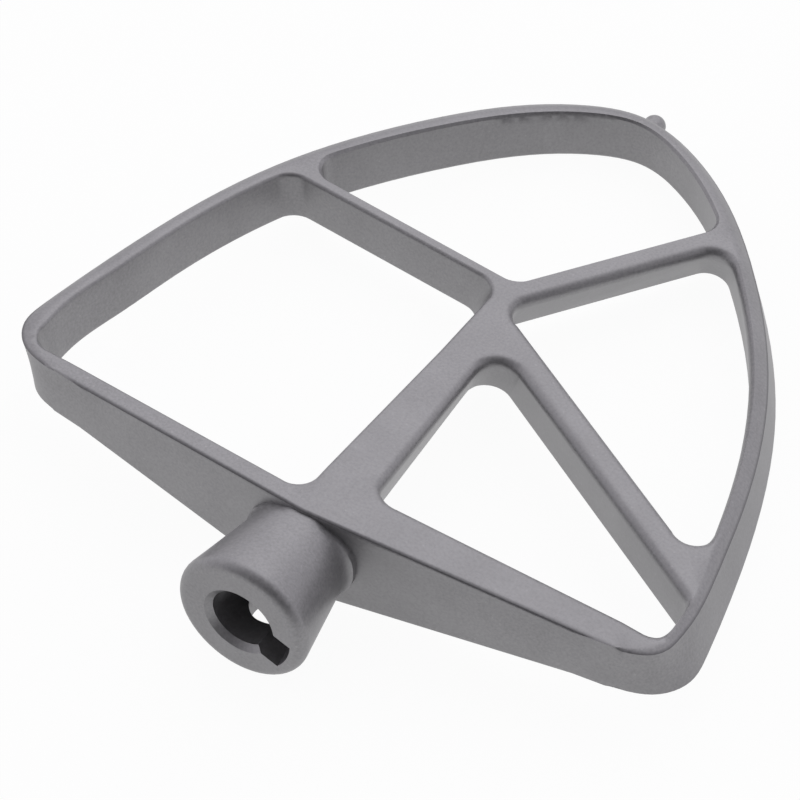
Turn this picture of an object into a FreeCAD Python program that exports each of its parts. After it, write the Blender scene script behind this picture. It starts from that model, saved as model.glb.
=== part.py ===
"""Flat beater for a stand mixer: one aluminium casting, in millimetres.

The drive axis is Y: the shaft enters the hub's mouth and the frame's tip lies at +Y. X runs
across the frame and Z is the normal of the front face. The outer frame and the top bar are
unchanged by a half turn about Y; the inner webs are not. Sizes along Y are counted from the
plane of the mouth, and at the end the origin moves to where the bore's wall begins.
"""

import math
import os

import FreeCAD
import Part

Vector = FreeCAD.Vector
ORIGIN = Vector(0, 0, 0)
DRIVE_AXIS = Vector(0, 1, 0)
BEYOND = 200.0
TOUCHING = 0.001
SEAM_TURN = 20.0

# drive socket
BORE_DIA = 12.8
BORE_DEPTH = 27.0
BORE_CHAMFER = 1.2
KEYWAY_WIDTH = 7.2
KEYWAY_RADIUS = 11.1
KEYWAY_DEPTH = 14.0
KEYWAY_ANGLE = -19.0
LOCK_ANGLE = -90.0
LOCK_START = 7.0
WINDOW_END = 15.5
SOCKET_DRAFT = 0.09

# hub, a cone that narrows towards the top bar
HUB_MOUTH_RADIUS = 14.3
HUB_TAPER = 0.17
HUB_END = 23.0
HUB_RIM_ROUND = 2.2
HUB_ROOT_START = 18.3
HUB_ROOT_ROUND = 3.0
HUB_ROOT_BELOW_EDGE = 0.9

# half depths of the casting on either side of the middle plane
PLATE_HALF = 5.6
RIM_HALF_AT_BAR = 5.2
RIM_HALF_AT_TIP = 3.0
RIM_FALL_LENGTH = 30.0
CROWN_SHARE = 0.65
CROWN_STEPS = 2
CROWN_POWER = 1.6
RIDGE_HALF = 11.5
RIDGE_END_X = 61.0
RIDGE_FALL = (RIDGE_HALF - PLATE_HALF) / RIDGE_END_X
STEM_FALL_START = 32.0
STEM_FALL_END = 78.0
STEM_RIDGE_END = 80.0
BAR_RIDGE_WIDTH = 11.0
STEM_RIDGE_HALF_WIDTH = 12.0

# outer edge of the frame in the middle plane: right half from the top bar to the tip
BAR_OUTER_Y = 20.9
BAR_OUTER_RISE = 0.132
BAR_END_X = 62.0
OUTER_POINTS = [
    (66.5, 30.1),
    (69.9, 32.0),
    (72.2, 34.9),
    (73.3, 38.5),
    (73.4, 44.5),
    (71.7, 58.3),
    (68.9, 74.5),
    (58.7, 108.2),
    (40.6, 139.2),
    (13.6, 165.2),
    (0.0, 169.6),
]
RIM_LEAN = 0.45

# inner edge of the frame in the middle plane, point for point beside the outer one
INNER_POINTS = [
    (65.4, 31.4),
    (67.9, 34.0),
    (69.3, 37.3),
    (69.9, 41.3),
    (69.9, 46.3),
    (67.6, 59.0),
    (64.8, 73.5),
    (53.9, 107.6),
    (34.3, 139.0),
    (10.2, 161.2),
    (0.0, 164.4),
]
INNER_LEAN = 0.21
CORNER_POINTS = 3

# window walls in the middle plane: two points with the window on the left of that direction,
# and how far the wall moves into the window for each millimetre towards the front
BAR_WALL_LEFT = ((-62.0, 33.8), (-14.0, 29.1), -0.24)
BAR_WALL_RIGHT = ((14.0, 29.8), (62.0, 34.4), 0.24)
STEM_WALL_LEFT = ((-5.2, 36.0), (-3.2, 91.0), -0.30)
STEM_WALL_RIGHT = ((5.5, 75.0), (6.1, 45.0), 0.30)
LEFT_WEB_LOWER = ((-8.0, 102.0), (-45.0, 105.6), 0.0)
LEFT_WEB_UPPER = ((-45.0, 108.6), (-8.0, 104.9), 0.0)
RIGHT_WEB_UPPER = ((3.3, 107.4), (25.5, 139.6), 0.0)
RIGHT_WEB_LOWER = ((26.0, 133.3), (8.5, 107.9), 0.43)
CORNER_WEB_UPPER = ((8.2, 92.4), (57.5, 61.0), 0.0)
CORNER_WEB_LOWER = ((60.0, 53.0), (13.5, 82.4), 0.07)

WINDOW_HALF_HEIGHT = 13.0
WINDOW_CORNER_ROUND = 5.0

# rounding of the casting's edges
OUTER_EDGE_ROUND = 0.8
WINDOW_EDGE_ROUND = 0.9
SOFT_EDGE_ROUND = 2.0
EDGE_BEVEL = 0.6
EDGE_ROUND_BAND = 0.5

# each window: its walls, and how far its front and back edges are rounded, softest on the right;
# None for an edge that is only broken by the small bevel
WINDOWS = [
    ([BAR_WALL_LEFT, STEM_WALL_LEFT, LEFT_WEB_LOWER], WINDOW_EDGE_ROUND, WINDOW_EDGE_ROUND),
    ([LEFT_WEB_UPPER, RIGHT_WEB_UPPER], None, None),
    ([RIGHT_WEB_LOWER, CORNER_WEB_UPPER], SOFT_EDGE_ROUND, None),
    ([BAR_WALL_RIGHT, CORNER_WEB_LOWER, STEM_WALL_RIGHT], SOFT_EDGE_ROUND, WINDOW_EDGE_ROUND),
]

# casting nub on the tip
NUB_RADIUS = 2.6
NUB_REACH = 5.0


def bar_outer_y(x):
    return BAR_OUTER_Y + BAR_OUTER_RISE * abs(x)


def mirrored(half):
    """Right half of a curve that ends on the axis, followed by its left half."""
    return half + [(-point[0], *point[1:]) for point in reversed(half[:-1])]


def closed_wire(points, feet):
    """Spline through the points, closed by straight lines through the feet."""
    curve = Part.BSplineCurve()
    curve.interpolate(points)
    corners = [points[-1]] + feet + [points[0]]
    return Part.Wire([curve.toShape()] + Part.makePolygon(corners).Edges)


def rim_half(y):
    """Half depth of the outer edge: as deep as the top bar's ends, thinner towards the tip."""
    beyond_bar = y - bar_outer_y(BAR_END_X)
    fall = math.exp(-beyond_bar / RIM_FALL_LENGTH)
    return RIM_HALF_AT_TIP + (RIM_HALF_AT_BAR - RIM_HALF_AT_TIP) * fall


def rim_section(share, side):
    """Outline of the casting's face on side 1 or -1: on the rim for share 0, inside it for 1."""
    lean = RIM_LEAN + (INNER_LEAN - RIM_LEAN) * share
    crown = max(0.0, 1 - share / CROWN_SHARE) ** CROWN_POWER
    plan = mirrored([(ox + (ix - ox) * share, oy + (iy - oy) * share, oy)
                     for (ox, oy), (ix, iy) in zip(OUTER_POINTS, INNER_POINTS)])
    points = []
    for place, (x, y, rim_y) in enumerate(plan):
        z = side * (PLATE_HALF - (PLATE_HALF - rim_half(rim_y)) * crown)
        from_end = min(place, len(plan) - 1 - place) + 1
        ramp = min(1.0, from_end / (CORNER_POINTS + 1))
        points.append(Vector(x - z * lean * ramp, y, z))
    end_y = bar_outer_y(BAR_END_X)
    end_z = side * (PLATE_HALF - (PLATE_HALF - rim_half(end_y)) * crown)
    first = Vector(BAR_END_X, end_y, end_z)
    last = Vector(-BAR_END_X, end_y, end_z)
    return closed_wire([first] + points + [last], [Vector(0, BAR_OUTER_Y, end_z)])


def plate():
    """Frame and webs before the windows: flat faces that curve down to the rim."""
    shares = [CROWN_SHARE * step / CROWN_STEPS for step in range(CROWN_STEPS + 1)]
    back = [rim_section(share, -1) for share in reversed(shares)]
    front = [rim_section(share, 1) for share in shares]
    return Part.makeLoft(back + front, True, True)


def middle_of(edge):
    return edge.valueAt((edge.FirstParameter + edge.LastParameter) / 2)


def along_z(edge):
    return edge.tangentAt(edge.FirstParameter).cross(Vector(0, 0, 1)).Length < TOUCHING


def polygon_prism(points, sweep):
    wire = Part.makePolygon([Vector(*p) for p in points + points[:1]])
    return Part.Face(wire).extrude(sweep)


def roof(half):
    """Bar along Y with the given half depth on the drive axis, falling away to both sides."""
    inside = PLATE_HALF / 2
    reach = (half - inside) / RIDGE_FALL
    return polygon_prism(
        [(-reach, 0, inside), (0, 0, half), (reach, 0, inside),
         (reach, 0, -inside), (0, 0, -half), (-reach, 0, -inside)],
        DRIVE_AXIS * STEM_RIDGE_END)


def ridge():
    """Deeper top bar and stem, falling away from the hub to both sides and to the tip."""
    stem_fall = (RIDGE_HALF - PLATE_HALF) / (STEM_FALL_END - STEM_FALL_START)
    end_half = PLATE_HALF - stem_fall * (STEM_RIDGE_END - STEM_FALL_END)
    fall = polygon_prism(
        [(-BEYOND, 0, RIDGE_HALF), (-BEYOND, STEM_FALL_START, RIDGE_HALF),
         (-BEYOND, STEM_RIDGE_END, end_half), (-BEYOND, STEM_RIDGE_END, -end_half),
         (-BEYOND, STEM_FALL_START, -RIDGE_HALF), (-BEYOND, 0, -RIDGE_HALF)],
        Vector(2 * BEYOND, 0, 0))
    end = bar_outer_y(BAR_END_X)
    inner = end + BAR_RIDGE_WIDTH
    side = STEM_RIDGE_HALF_WIDTH
    plan = polygon_prism(
        [(-BAR_END_X, end, -BEYOND), (0, BAR_OUTER_Y, -BEYOND), (BAR_END_X, end, -BEYOND),
         (BAR_END_X, inner, -BEYOND), (side, inner, -BEYOND), (side, STEM_RIDGE_END, -BEYOND),
         (-side, STEM_RIDGE_END, -BEYOND), (-side, inner, -BEYOND), (-BAR_END_X, inner, -BEYOND)],
        Vector(0, 0, 2 * BEYOND))
    solid = roof(RIDGE_HALF).common(fall).common(plan)
    outer = [e for e in solid.Edges
             if abs(middle_of(e).y - bar_outer_y(middle_of(e).x)) < TOUCHING and not along_z(e)]
    return solid.makeFillet(OUTER_EDGE_ROUND, outer)


def half_space(wall):
    """Large solid on the left of a wall, leaning as the wall does."""
    (x0, y0), (x1, y1), lean = wall
    along = Vector(x1 - x0, y1 - y0, 0)
    along.normalize()
    inwards = Vector(-along.y, along.x, 0)
    start = Vector(x0, y0, 0) - along * BEYOND
    reach = 2 * WINDOW_HALF_HEIGHT
    low = start + (Vector(0, 0, -1) - inwards * lean) * reach
    high = start + (Vector(0, 0, 1) + inwards * lean) * reach
    corners = [low, high, high + inwards * BEYOND, low + inwards * BEYOND]
    wire = Part.makePolygon(corners + corners[:1])
    return Part.Face(wire).extrude(along * (2 * BEYOND))


def turn_at(edge, solid):
    """Degrees between the two faces that meet in an edge: near 0 for a smooth seam."""
    normals = []
    for face in solid.ancestorsOfType(edge, Part.Face):
        u, v = face.Surface.parameter(middle_of(edge))
        normals.append(face.normalAt(u, v))
    return math.degrees(normals[0].getAngle(normals[-1]))


def runs_through(edge):
    """True for an edge that joins the front of a prism to its back."""
    return edge.BoundBox.ZLength > PLATE_HALF


def window(walls):
    """Opening of the frame bounded by its inner edge and by the given walls."""
    points = [Vector(x, y, 0) for x, y in mirrored(INNER_POINTS[CORNER_POINTS:])]
    slope = Vector(-INNER_LEAN, 0, 1)
    wire = closed_wire(points, [Vector(-points[0].x, BAR_OUTER_Y, 0),
                                Vector(points[0].x, BAR_OUTER_Y, 0)])
    wire.translate(slope * -WINDOW_HALF_HEIGHT)
    opening = Part.Face(wire).extrude(slope * (2 * WINDOW_HALF_HEIGHT))
    for wall in walls:
        opening = opening.common(half_space(wall))
    corners = [e for e in opening.Edges if runs_through(e) and turn_at(e, opening) > SEAM_TURN]
    return opening.makeFillet(WINDOW_CORNER_ROUND, corners)


def edges_at(body, opening, side):
    """Edges where the walls of an opening meet the front (side 1) or the back (side -1)."""
    found = []
    for edge in body.Edges:
        middle = middle_of(edge)
        if side * middle.z > PLATE_HALF - EDGE_ROUND_BAND:
            if opening.distToShape(Part.Vertex(middle))[0] < TOUCHING:
                found.append(edge)
    return found


def with_windows(body):
    """The solid with each window cut through it and the window's edges rounded or bevelled."""
    for walls, front_round, back_round in WINDOWS:
        opening = window(walls)
        body = body.cut(opening)
        for side, edge_round in ((1, front_round), (-1, back_round)):
            edges = edges_at(body, opening, side)
            if edges and edge_round:
                body = body.makeFillet(edge_round, edges)
            elif edges:
                body = body.makeChamfer(EDGE_BEVEL, edges)
    return body


def cone_along_drive(radius_at_mouth, taper, start, end):
    """Cone about the drive axis whose radius drops by the taper for each millimetre of y."""
    return Part.makeCone(radius_at_mouth - taper * start, radius_at_mouth - taper * end,
                         end - start, DRIVE_AXIS * start, DRIVE_AXIS)


def hub():
    cone = cone_along_drive(HUB_MOUTH_RADIUS, HUB_TAPER, 0.0, HUB_END)
    rim = [e for e in cone.Edges if e.BoundBox.YMax < TOUCHING]
    return cone.makeFillet(HUB_RIM_ROUND, rim)


def hub_root():
    """Hollow curve that blends the hub into the top bar and stays below the bar's edges."""
    start_radius = HUB_MOUTH_RADIUS - HUB_TAPER * HUB_ROOT_START
    centre = Vector(start_radius + HUB_ROOT_ROUND, HUB_ROOT_START, 0)
    points = []
    for degrees in (0.0, 35.0, 70.0):
        angle = math.radians(degrees)
        points.append(centre + Vector(-math.cos(angle), math.sin(angle), 0) * HUB_ROOT_ROUND)
    curve = Part.Arc(*points).toShape()
    back = [points[2], Vector(points[2].x, HUB_END, 0), Vector(0, HUB_END, 0),
            Vector(0, HUB_ROOT_START, 0), points[0]]
    wire = Part.Wire([curve] + Part.makePolygon(back).Edges)
    flare = Part.Face(wire).revolve(ORIGIN, DRIVE_AXIS, 360)
    return flare.common(roof(RIDGE_HALF - HUB_ROOT_BELOW_EDGE))


def turned_about_drive(shape, degrees):
    """The shape turned about the drive axis, counted from +X towards +Z."""
    shape.rotate(ORIGIN, DRIVE_AXIS, -degrees)
    return shape


def socket():
    """Bore, keyway and the bayonet track that ends at the opening through the hub's wall."""
    radius = BORE_DIA / 2
    bore = Part.makeCylinder(radius, BORE_DEPTH, ORIGIN, DRIVE_AXIS)
    mouth = Part.makeCone(radius + BORE_CHAMFER, radius, BORE_CHAMFER, ORIGIN, DRIVE_AXIS)
    channel = Part.makeBox(BEYOND, KEYWAY_DEPTH, KEYWAY_WIDTH, Vector(0, 0, -KEYWAY_WIDTH / 2))
    keyway = turned_about_drive(channel, KEYWAY_ANGLE)
    track = Part.makeCylinder(BEYOND, KEYWAY_DEPTH - LOCK_START, DRIVE_AXIS * LOCK_START,
                              DRIVE_AXIS, KEYWAY_ANGLE - LOCK_ANGLE)
    quarter_turn = 90.0
    track = turned_about_drive(track, KEYWAY_ANGLE - quarter_turn)
    limit = cone_along_drive(KEYWAY_RADIUS, SOCKET_DRAFT, 0.0, KEYWAY_DEPTH)
    return bore.fuse(mouth).fuse(keyway.fuse(track).common(limit))


def lock_window():
    """Long hole with round ends through the hub's wall at the lock position."""
    half = KEYWAY_WIDTH / 2
    length = WINDOW_END - LOCK_START - KEYWAY_WIDTH
    hole = Part.makeBox(BEYOND, length, KEYWAY_WIDTH, Vector(0, LOCK_START + half, -half))
    for y in (LOCK_START + half, WINDOW_END - half):
        hole = hole.fuse(Part.makeCylinder(half, BEYOND, DRIVE_AXIS * y, Vector(1, 0, 0)))
    return turned_about_drive(hole, LOCK_ANGLE)


def nub():
    """Small round-ended boss on the tip, in the middle plane."""
    start = INNER_POINTS[-1][1] + NUB_RADIUS
    length = OUTER_POINTS[-1][1] + NUB_REACH - NUB_RADIUS - start
    pin = Part.makeCylinder(NUB_RADIUS, length, DRIVE_AXIS * start, DRIVE_AXIS)
    return pin.fuse(Part.makeSphere(NUB_RADIUS, DRIVE_AXIS * (start + length)))


def casting():
    body = with_windows(plate()).fuse(with_windows(ridge()))
    body = body.fuse([hub(), hub_root(), nub()]).removeSplitter()
    body = body.cut(socket()).cut(lock_window())
    body.translate(DRIVE_AXIS * -BORE_CHAMFER)
    return body


def main():
    os.makedirs("parts", exist_ok=True)
    body = casting()
    print("valid", body.isValid(), "solids", len(body.Solids), "faces", len(body.Faces),
          "edges", len(body.Edges))
    body.exportStep("parts/flat_beater.step")


main()
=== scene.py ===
"""Product picture of a cast flat beater for a stand mixer, lying on a pale floor.

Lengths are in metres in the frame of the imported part: +Y from the hub's mouth to the tip,
+Z out of the front face. The visible casting is made from the part's own surface.
"""

import math

import bmesh
import bpy
from mathutils import Matrix, Vector
from mathutils.kdtree import KDTree


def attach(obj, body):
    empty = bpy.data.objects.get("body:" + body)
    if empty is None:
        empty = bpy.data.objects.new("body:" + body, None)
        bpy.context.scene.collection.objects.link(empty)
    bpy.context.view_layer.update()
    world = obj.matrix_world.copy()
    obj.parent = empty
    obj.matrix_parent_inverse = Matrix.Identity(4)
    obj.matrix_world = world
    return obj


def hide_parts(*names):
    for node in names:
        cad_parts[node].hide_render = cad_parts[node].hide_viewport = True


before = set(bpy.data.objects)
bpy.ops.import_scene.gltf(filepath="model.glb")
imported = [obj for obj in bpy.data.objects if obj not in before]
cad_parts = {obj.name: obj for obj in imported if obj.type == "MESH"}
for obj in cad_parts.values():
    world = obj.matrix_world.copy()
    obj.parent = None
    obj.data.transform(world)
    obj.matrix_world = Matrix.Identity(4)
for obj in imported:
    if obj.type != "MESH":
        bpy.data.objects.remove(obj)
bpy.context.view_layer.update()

MM = 0.001
PER_MM = 1000.0
NODE = "flat_beater"
WHITE = (1.0, 1.0, 1.0, 1.0)

# camera, as the photo was taken
CAMERA_PLACE = Vector((159.5, -274.3, 387.0)) * MM
CAMERA_AIM = Vector((-4.1, 64.8, 0.0)) * MM
CAMERA_ROLL = math.radians(6.37)
CAMERA_LENS = 121.7
SENSOR_WIDTH = 36.0

# studio: the direction of its darker near side, where the camera stands, and how bright the
# room is from its far side (0) to its near side (1)
NEAR_SIDE = (0.40, -0.80, 0.45)
ROOM_BRIGHTNESS = [(0.55, 1.00), (0.76, 0.60), (0.92, 0.16)]
ROOM_TINT = "#fcfaff"
OVERHEAD_PLACE = (-250, 900, 1200)
OVERHEAD_AIM = (0, 85, 0)
OVERHEAD_SIZE = 1400
OVERHEAD_WATTS = 3.5

# surface
MERGE_DISTANCE = 0.0005 * MM
SMOOTH_ANGLE = math.radians(32)

# coat: how many grains, flecks and patches there are to a millimetre. The real grain is about
# 0.1 mm, too fine to show, so it is drawn about six times as coarse
GRAINS = 1.6 * PER_MM
FLECKS = 0.45 * PER_MM
PATCHES = 0.09 * PER_MM
GRAIN_RANGE = (0.30, 0.70)
GRAIN_BUMP = 0.02 * MM

# outer edge between the frame's face and its side wall, along which a narrow dark line of
# painted shade stands in for the dark reflection of the edge's rounding. Faces that are off
# this edge for certain get a distance of a whole metre
RIM_TURN = math.radians(7)
WALL_SLOPE = 0.5
RIM_INSET = 4.0 * MM
RIM_STEP = 0.2 * MM
FAR_FROM_RIM = 1.0
# painted shade: the dark edge line is whole up to this distance from the edge, fades out by the
# next, and takes this share of its dark colour
PAINTED_EDGE_SHADE_FULL = 0.09 * MM
PAINTED_EDGE_SHADE_END = 0.72 * MM
PAINTED_EDGE_SHADE_SHARE = 0.6
FRAME_START = 19.5 * MM

# where the rounding of the bar's outer edge runs out at the corners, between these two
# distances from the drive axis
ROUNDING_ENDS = (61.8 * MM, 64.8 * MM)
ROUNDING_ENDS_Y = 30 * MM

# hollow root between hub and bar, which fades out towards the front and back: its angle from
# the front or back where it starts and is whole, and how much of the solid's root is kept
HUB_RADIUS = 14.1 * MM
HUB_TAPER = 0.17
ROOT_START = 17.0 * MM
ROOT_END = 22.0 * MM
ROOT_RADIUS = 13.4 * MM
ROOT_TOP = 10.65 * MM
ROOT_TOP_FALL = 0.0967
ROOT_FADE = (math.radians(30), math.radians(78))
ROOT_SHARE = 0.5

# window walls whose front edge stands a little further into the window than the solid's: two
# points in millimetres with the window on the left of that direction, and how far it moves
MOVED_WALLS = [
    ((16.0, 28.9), (58.0, 32.8), 1.5),
    ((12.0, 88.8), (55.0, 61.4), 1.3),
    ((-60.0, 32.4), (-14.0, 27.9), 0.8),
]
WALL_ENDS_FADE = 12 * MM
WALL_DEPTH = (2.5 * MM, 6 * MM)
WALL_HEIGHT = (-2 * MM, 4 * MM)

# floor, which looks for the underside of the tip from well past the hub
TIP_HALF_START = 100 * MM
FLOOR_GAP = 0.2 * MM
FLOOR_SIZE = 6.0
SHADOW_HIDDEN = 0.95


def srgb(code):
    """Linear colour of a hex code such as #9a999e."""
    channels = []
    for place in (1, 3, 5):
        value = int(code[place:place + 2], 16) / 255
        if value <= 0.04045:
            channels.append(value / 12.92)
        else:
            channels.append(((value + 0.055) / 1.055) ** 2.4)
    return (*channels, 1.0)


def new_material(name):
    material = bpy.data.materials.new(name)
    material.use_nodes = True
    material.node_tree.nodes.clear()
    return material


def node(tree, kind, settings=None, inputs=None):
    """A node with its settings; an input is a value or another node's output socket."""
    made = tree.nodes.new(kind)
    for key, value in (settings or {}).items():
        setattr(made, key, value)
    for key, value in (inputs or {}).items():
        if isinstance(value, bpy.types.NodeSocket):
            tree.links.new(value, made.inputs[key])
        else:
            made.inputs[key].default_value = value
    return made


def ramp(tree, factor, stops):
    """Colour ramp with grey stops given as (place, value)."""
    made = node(tree, "ShaderNodeValToRGB", inputs={"Fac": factor})
    elements = made.color_ramp.elements
    while len(elements) < len(stops):
        elements.new(0.5)
    for element, (place, value) in zip(elements, stops):
        element.position = place
        element.color = (value, value, value, 1.0)
    return made.outputs["Color"]


def multiplied(tree, colour, factor):
    """One colour multiplied by another."""
    mixed = node(tree, "ShaderNodeMix",
                 settings={"data_type": "RGBA", "blend_type": "MULTIPLY"},
                 inputs={"Factor": 1.0, "A": colour, "B": factor})
    return mixed.outputs["Result"]


def casting_material():
    """Die-cast aluminium, tumbled and spray-coated in silver grey.

    The coat's fine flakes give a dull satin sheen with a speckled grain, and the casting's
    skin shows through as faint broad patches and a very fine orange-peel bump. Along the
    outer edge a narrow darker line of painted shade stands in for the dark reflection of the
    edge's rounding.
    """
    material = new_material("silver_coated_casting")
    tree = material.node_tree
    place = node(tree, "ShaderNodeTexCoord").outputs["Object"]

    grain = node(tree, "ShaderNodeTexNoise",
                 inputs={"Vector": place, "Scale": GRAINS, "Detail": 3.0,
                         "Roughness": 0.6}).outputs["Fac"]
    patches = node(tree, "ShaderNodeTexNoise",
                   inputs={"Vector": place, "Scale": PATCHES, "Detail": 4.0,
                           "Roughness": 0.55}).outputs["Fac"]
    flecks = node(tree, "ShaderNodeTexVoronoi", settings={"feature": "F1"},
                  inputs={"Vector": place, "Scale": FLECKS}).outputs["Distance"]

    tone = multiplied(tree, srgb("#929193"), ramp(tree, grain, [(0.30, 0.86), (0.70, 1.14)]))
    tone = multiplied(tree, tone, ramp(tree, patches, [(0.30, 0.955), (0.70, 1.045)]))
    tone = multiplied(tree, tone, ramp(tree, flecks, [(0.05, 1.16), (0.12, 1.0)]))

    # painted shade: a narrow dark line along the outer edge, mixed into the coat's colour,
    # stands in for the dark reflection of the edge's rounding
    from_rim = node(tree, "ShaderNodeAttribute",
                    settings={"attribute_name": "rim_distance"}).outputs["Fac"]
    painted_edge_shade = node(tree, "ShaderNodeMapRange",
                  inputs={"Value": from_rim, "From Min": PAINTED_EDGE_SHADE_FULL, "From Max": PAINTED_EDGE_SHADE_END,
                          "To Min": PAINTED_EDGE_SHADE_SHARE, "To Max": 0.0}).outputs["Result"]
    tone = node(tree, "ShaderNodeMix", settings={"data_type": "RGBA"},
                inputs={"Factor": painted_edge_shade, "A": tone, "B": srgb("#4c4b4e")}).outputs["Result"]

    low, high = GRAIN_RANGE
    roughness = node(tree, "ShaderNodeMapRange",
                     inputs={"Value": grain, "From Min": low, "From Max": high,
                             "To Min": 0.40, "To Max": 0.52}).outputs["Result"]
    bump = node(tree, "ShaderNodeBump",
                inputs={"Height": grain, "Strength": 0.25, "Distance": GRAIN_BUMP})

    shader = node(tree, "ShaderNodeBsdfPrincipled",
                  inputs={"Base Color": tone, "Metallic": 0.75, "Roughness": roughness,
                          "IOR": 1.5, "Normal": bump.outputs["Normal"]})
    node(tree, "ShaderNodeOutputMaterial", inputs={"Surface": shader.outputs["BSDF"]})
    return material


def floor_material():
    """Matt white studio paper, plain white in reflections; its shadow shows only faintly."""
    material = new_material("white_paper")
    tree = material.node_tree
    paper = node(tree, "ShaderNodeBsdfPrincipled",
                 inputs={"Base Color": srgb("#fcfcfc"), "Roughness": 0.9,
                         "Specular IOR Level": 0.1})
    white = node(tree, "ShaderNodeEmission", inputs={"Strength": 1.0})
    rays = node(tree, "ShaderNodeLightPath").outputs
    seen = node(tree, "ShaderNodeMath", settings={"operation": "MULTIPLY"},
                inputs={0: rays["Is Camera Ray"], 1: SHADOW_HIDDEN}).outputs["Value"]
    share = node(tree, "ShaderNodeMath", settings={"operation": "MAXIMUM"},
                 inputs={0: seen, 1: rays["Is Glossy Ray"]}).outputs["Value"]
    mixed = node(tree, "ShaderNodeMixShader", inputs={0: share, 1: paper.outputs["BSDF"],
                                                      2: white.outputs["Emission"]})
    node(tree, "ShaderNodeOutputMaterial", inputs={"Surface": mixed.outputs["Shader"]})
    return material


def is_wall(face):
    return abs(face.normal.z) < WALL_SLOPE


def hub_radius(y):
    return HUB_RADIUS - HUB_TAPER * y


def on_root(place):
    """True on the hollow root around the hub, below the bar's front and back edges."""
    radius = math.hypot(place.x, place.z)
    return (ROOT_START < place.y < ROOT_END and hub_radius(place.y) < radius < ROOT_RADIUS
            and abs(place.z) < ROOT_TOP - ROOT_TOP_FALL * abs(place.x))


def where_rounding_ends(place):
    """True where the rounding of the bar's outer edge runs out into the sharp corner."""
    return ROUNDING_ENDS[0] < abs(place.x) < ROUNDING_ENDS[1] and place.y < ROUNDING_ENDS_Y


def rim_edges(surface):
    """Edges where the frame's front or back meets its outer side wall."""
    plan = [Vector((v.co.x, v.co.y)) for v in surface.verts if v.co.y > FRAME_START]
    found = []
    for edge in surface.edges:
        walls = [face for face in edge.link_faces if is_wall(face)]
        if len(walls) != 1 or edge.calc_face_angle(0.0) < RIM_TURN:
            continue
        outwards = Vector((walls[0].normal.x, walls[0].normal.y))
        middle = (edge.verts[0].co + edge.verts[1].co) / 2
        if middle.y < FRAME_START or on_root(middle) or where_rounding_ends(middle):
            continue
        reach = outwards.dot(Vector((middle.x, middle.y)))
        if max(outwards.dot(point) for point in plan) - reach < RIM_INSET:
            found.append(edge)
    return found


def mark_rim(surface):
    """Sharpen the outer edge and store how far each corner of the front and back is from it."""
    marks = []
    for edge in rim_edges(surface):
        edge.smooth = False
        start, end = edge.verts[0].co, edge.verts[1].co
        count = max(1, math.ceil((end - start).length / RIM_STEP))
        marks += [start.lerp(end, step / count) for step in range(count + 1)]
    tree = KDTree(len(marks))
    for index, mark in enumerate(marks):
        tree.insert(mark, index)
    tree.balance()
    distance = surface.loops.layers.float.new("rim_distance")
    for face in surface.faces:
        for loop in face.loops:
            loop[distance] = FAR_FROM_RIM if is_wall(face) else tree.find(loop.vert.co)[2]


def fade(value, low, high):
    """Smooth step from 0 at the low value to 1 at the high one."""
    share = min(1.0, max(0.0, (value - low) / (high - low)))
    return share * share * (3 - 2 * share)


def soften_root(surface):
    """Let the hollow root around the hub run out below the bar's front and back edges."""
    for vert in surface.verts:
        if not on_root(vert.co):
            continue
        radius = math.hypot(vert.co.x, vert.co.z)
        from_top = math.atan2(abs(vert.co.x), abs(vert.co.z))
        hub = hub_radius(vert.co.y)
        wanted = hub + (radius - hub) * ROOT_SHARE * fade(from_top, *ROOT_FADE)
        vert.co.x *= wanted / radius
        vert.co.z *= wanted / radius


def move_walls(surface):
    """Move the front edge of the listed walls into their windows, fading out all round."""
    for first, last, amount in MOVED_WALLS:
        start = Vector((*first, 0)) * MM
        along = Vector((*last, 0)) * MM - start
        length = along.length
        along.normalize()
        inwards = Vector((-along.y, along.x, 0))
        for vert in surface.verts:
            place = (vert.co - start).dot(along)
            depth = abs((vert.co - start).dot(inwards))
            share = (1 - fade(depth, *WALL_DEPTH)) * fade(vert.co.z, *WALL_HEIGHT)
            share *= fade(place, -WALL_ENDS_FADE, 0)
            share *= fade(length - place, -WALL_ENDS_FADE, 0)
            vert.co += inwards * (amount * MM * share)


def make_casting():
    """The casting's surface with shared corners, smooth faces and sharp edges."""
    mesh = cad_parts[NODE].data.copy()
    surface = bmesh.new()
    surface.from_mesh(mesh)
    bmesh.ops.remove_doubles(surface, verts=surface.verts, dist=MERGE_DISTANCE)
    soften_root(surface)
    move_walls(surface)
    surface.normal_update()
    for face in surface.faces:
        face.smooth = True
    for edge in surface.edges:
        edge.smooth = edge.calc_face_angle(0.0) < SMOOTH_ANGLE
    mark_rim(surface)
    surface.to_mesh(mesh)
    surface.free()
    mesh.materials.clear()
    mesh.materials.append(casting_material())
    casting = bpy.data.objects.new("casting", mesh)
    bpy.context.scene.collection.objects.link(casting)
    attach(casting, "root")
    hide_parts(NODE)
    return casting


def make_floor(casting):
    """Pale floor that touches the hub's rim and the underside of the tip's half."""
    places = [vert.co for vert in casting.data.vertices]
    hub = min(places, key=lambda place: place.z)
    slope = min(math.atan2(place.z - hub.z, place.y - hub.y)
                for place in places if place.y > TIP_HALF_START)
    half = FLOOR_SIZE / 2
    corners = [(-half, -half, 0), (half, -half, 0), (half, half, 0), (-half, half, 0)]
    mesh = bpy.data.meshes.new("floor")
    mesh.from_pydata(corners, [], [(0, 1, 2, 3)])
    mesh.materials.append(floor_material())
    floor = bpy.data.objects.new("floor", mesh)
    floor.matrix_world = (Matrix.Translation((0, hub.y, hub.z - FLOOR_GAP))
                          @ Matrix.Rotation(slope, 4, "X"))
    bpy.context.scene.collection.objects.link(floor)


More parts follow.
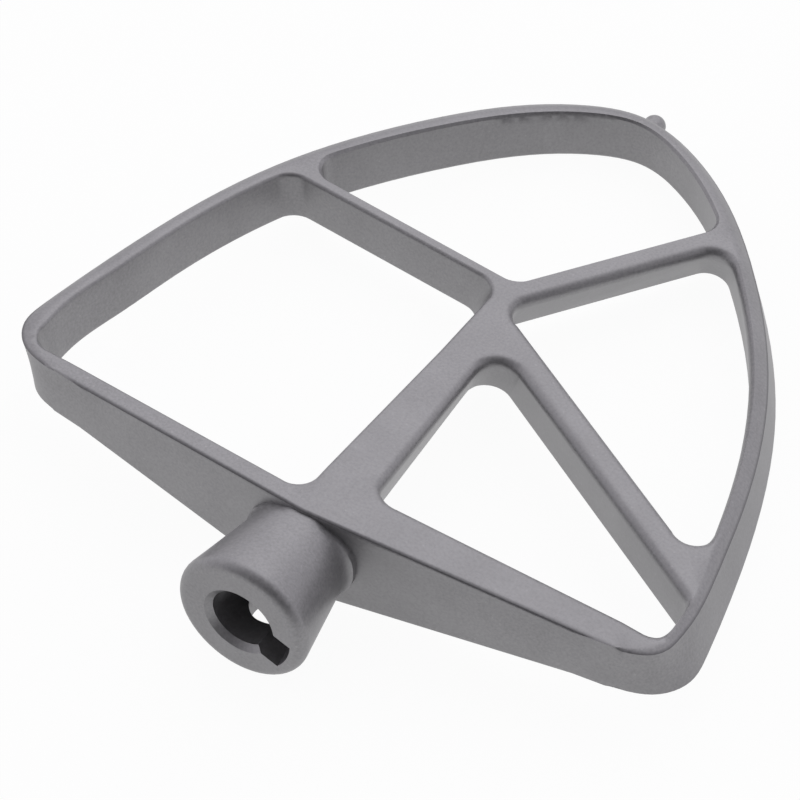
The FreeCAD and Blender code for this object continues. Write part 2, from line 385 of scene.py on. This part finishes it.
def area_lamp(name, place, aim, size, watts):
    """Square soft box at a place in millimetres, turned to its aim."""
    light = bpy.data.lights.new(name, "AREA")
    light.shape = "SQUARE"
    light.size = size * MM
    light.energy = watts
    lamp = bpy.data.objects.new(name, light)
    lamp.location = Vector(place) * MM
    direction = (Vector(aim) - Vector(place)).normalized()
    lamp.rotation_mode = "QUATERNION"
    lamp.rotation_quaternion = direction.to_track_quat("-Z", "Y")
    bpy.context.scene.collection.objects.link(lamp)


def make_studio():
    """White room for the camera; for the light, a pale far side and a darker near side."""
    world = bpy.data.worlds.new("studio")
    bpy.context.scene.world = world
    world.use_nodes = True
    tree = world.node_tree
    tree.nodes.clear()
    direction = node(tree, "ShaderNodeTexCoord").outputs["Generated"]
    nearness = node(tree, "ShaderNodeVectorMath", settings={"operation": "DOT_PRODUCT"},
                    inputs={0: direction, 1: NEAR_SIDE}).outputs["Value"]
    share = node(tree, "ShaderNodeMapRange",
                 inputs={"Value": nearness, "From Min": -1.0, "From Max": 1.0}
                 ).outputs["Result"]
    room = multiplied(tree, ramp(tree, share, ROOM_BRIGHTNESS), srgb(ROOM_TINT))
    soft = node(tree, "ShaderNodeBackground", inputs={"Color": room, "Strength": 1.0})
    white = node(tree, "ShaderNodeBackground", inputs={"Color": WHITE, "Strength": 1.0})
    seen = node(tree, "ShaderNodeLightPath").outputs["Is Camera Ray"]
    mixed = node(tree, "ShaderNodeMixShader", inputs={0: seen, 1: soft.outputs["Background"],
                                                      2: white.outputs["Background"]})
    node(tree, "ShaderNodeOutputWorld", inputs={"Surface": mixed.outputs["Shader"]})
    area_lamp("overhead_box", OVERHEAD_PLACE, OVERHEAD_AIM, OVERHEAD_SIZE, OVERHEAD_WATTS)


def make_camera():
    """Camera at the place and roll from which the photo was taken."""
    camera_data = bpy.data.cameras.new("camera")
    camera_data.lens = CAMERA_LENS
    camera_data.sensor_width = SENSOR_WIDTH
    camera = bpy.data.objects.new("camera", camera_data)
    bpy.context.scene.collection.objects.link(camera)
    aim = (CAMERA_AIM - CAMERA_PLACE).to_track_quat("-Z", "Y").to_matrix().to_4x4()
    camera.matrix_world = (Matrix.Translation(CAMERA_PLACE) @ aim
                           @ Matrix.Rotation(CAMERA_ROLL, 4, "Z"))
    bpy.context.scene.camera = camera


def set_view():
    bpy.context.scene.view_settings.view_transform = "Standard"


casting = make_casting()
make_floor(casting)
make_studio()
make_camera()
set_view()
